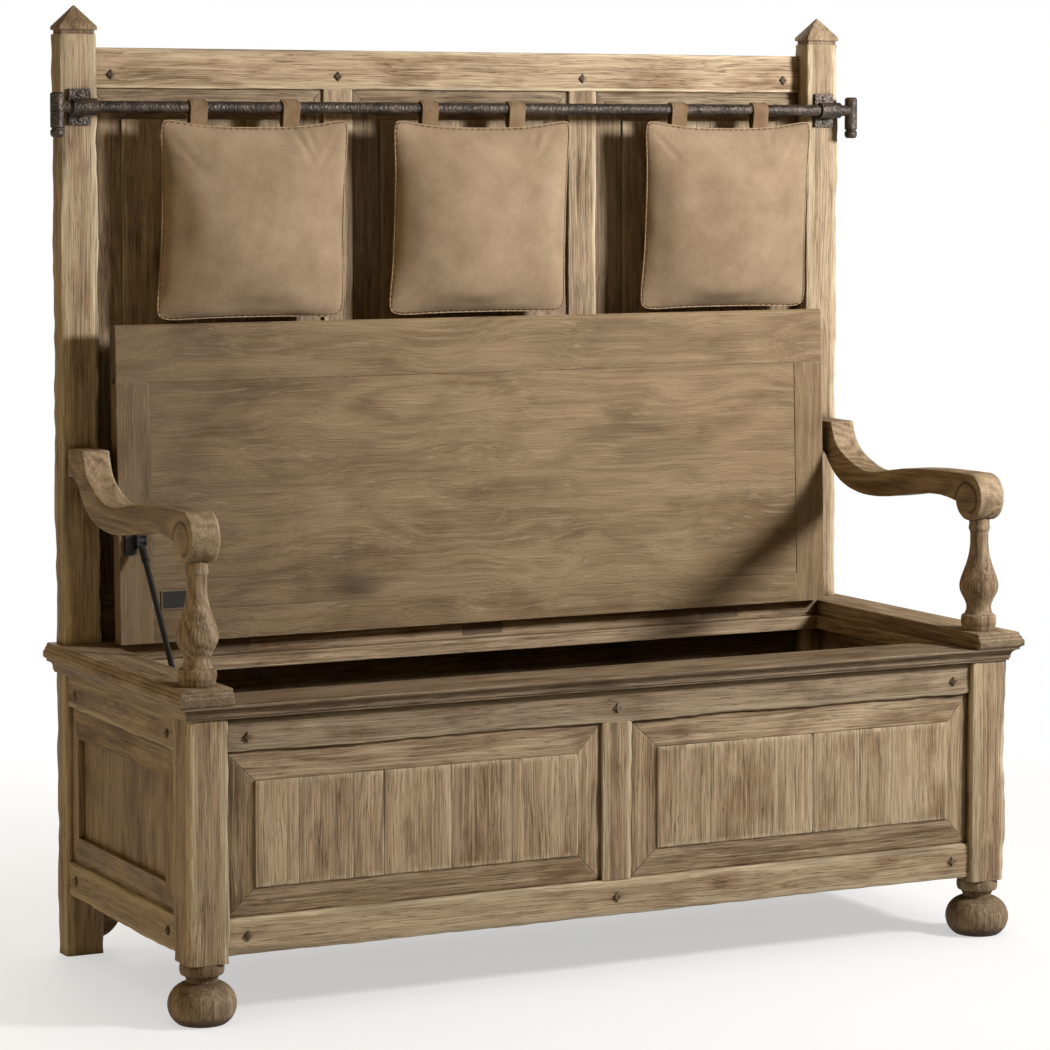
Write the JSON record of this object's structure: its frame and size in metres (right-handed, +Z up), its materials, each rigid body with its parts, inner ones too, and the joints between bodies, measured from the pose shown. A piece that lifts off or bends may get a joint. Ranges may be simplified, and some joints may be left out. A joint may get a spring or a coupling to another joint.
{
  "type": "hall bench",
  "caption": "High-backed panelled oak settle with a lift-up lid over a storage chest, scrolled arms on turned supports and cushions hung from an iron rod",
  "frame": {"origin": "centre of the bounding box on the floor", "axes": "X along the bench, Y from the front to the back, Z up"},
  "size_m": [1.563, 0.631, 1.6],
  "materials": {
    "oak": "brushed and oiled",
    "peg_oak": "dark stained",
    "forged_iron": "blackened, hammered",
    "bright_steel": "ground",
    "black_steel": "satin",
    "hinge_steel": "plain",
    "suede": "napped",
    "strap_leather": "napped"
  },
  "bodies": {
    "bench": {"arm_left": "oak", "arm_right": "oak", "arm_supports": "oak", "back_bevels": "oak", "back_low_rail": "oak", "back_muntins": "oak", "back_panel_centre": "oak", "back_panel_left": "oak", "back_panel_right": "oak", "back_top_rail": "oak", "bracket_screws": "forged_iron", "bun_feet": "oak", "chest_back": "oak", "chest_floor": "oak", "end_board_left": "oak", "end_board_right": "oak", "front_bevels": "oak", "front_bottom_rail": "oak", "front_muntin": "oak", "front_panel_left": "oak", "front_panel_right": "oak", "front_post_left": "oak", "front_post_right": "oak", "front_top_rail": "oak", "hinge_fixed_leaves": "hinge_steel", "hinge_pins": "hinge_steel", "oak_pegs": "peg_oak", "rear_brackets": "oak", "rear_post_left": "oak", "rear_post_right": "oak", "rear_strip": "oak", "rod_brackets": "forged_iron", "seat_bed_front": "oak", "seat_bed_left": "oak", "seat_bed_rear": "oak", "seat_bed_right": "oak", "side_bevels": "oak", "side_panel_left": "oak", "side_panel_right": "oak", "side_rails_left": "oak", "side_rails_right": "oak", "stay_batten": "oak", "stay_chest_bracket": "black_steel"},
    "lid": {"lid_front_rail": "oak", "lid_rear_rail": "oak", "lid_stiles": "oak", "lid_panel": "oak", "hinge_lid_leaves": "hinge_steel", "stay_lid_bracket": "black_steel", "stay_pin": "black_steel"},
    "strut_rod": {"stay_rod": "bright_steel"},
    "strut_tube": {"stay_tube": "black_steel"},
    "rod": {"hanging_rod": "forged_iron", "rod_toggles": "forged_iron"},
    "cushion_left_body": {"cushion_left": "suede", "loops_left": "strap_leather"},
    "cushion_centre_body": {"cushion_centre": "suede", "loops_centre": "strap_leather"},
    "cushion_right_body": {"cushion_right": "suede", "loops_right": "strap_leather"}
  },
  "joints": [
    {"name": "lid_hinge", "type": "hinge", "parent": "bench", "child": "lid", "pos_m": [0, 0.22, 0.532], "axis": [1, 0, 0], "range_deg": [0, 92]},
    {"name": "stay_swing", "type": "hinge", "parent": "lid", "child": "strut_rod", "pos_m": [-0.651, 0.18746, 0.70904], "axis": [1, 0, 0], "range_deg": [-94.39, 0.5]},
    {"name": "stay_slide", "type": "slide", "parent": "strut_rod", "child": "strut_tube", "axis": [0, 0.5909, 0.8068], "range_m": [-0.001, 0.25951]},
    {"name": "rod_turn", "type": "hinge", "parent": "bench", "child": "rod", "pos_m": [0, 0.2465, 1.431], "axis": [1, 0, 0], "continuous": true},
    {"name": "cushion_left_swing", "type": "hinge", "parent": "bench", "child": "cushion_left_body", "pos_m": [0, 0.2465, 1.431], "axis": [-1, 0, 0], "range_deg": [0, 75]},
    {"name": "cushion_centre_swing", "type": "hinge", "parent": "bench", "child": "cushion_centre_body", "pos_m": [0, 0.2465, 1.431], "axis": [-1, 0, 0], "range_deg": [0, 75]},
    {"name": "cushion_right_swing", "type": "hinge", "parent": "bench", "child": "cushion_right_body", "pos_m": [0, 0.2465, 1.431], "axis": [-1, 0, 0], "range_deg": [0, 75]}
  ],
  "couplings": [
    {"joint": "stay_swing", "follows": "lid_hinge", "ratio": -1.0205},
    {"joint": "stay_slide", "follows": "lid_hinge", "m_per_rad": 0.16099}
  ]
}
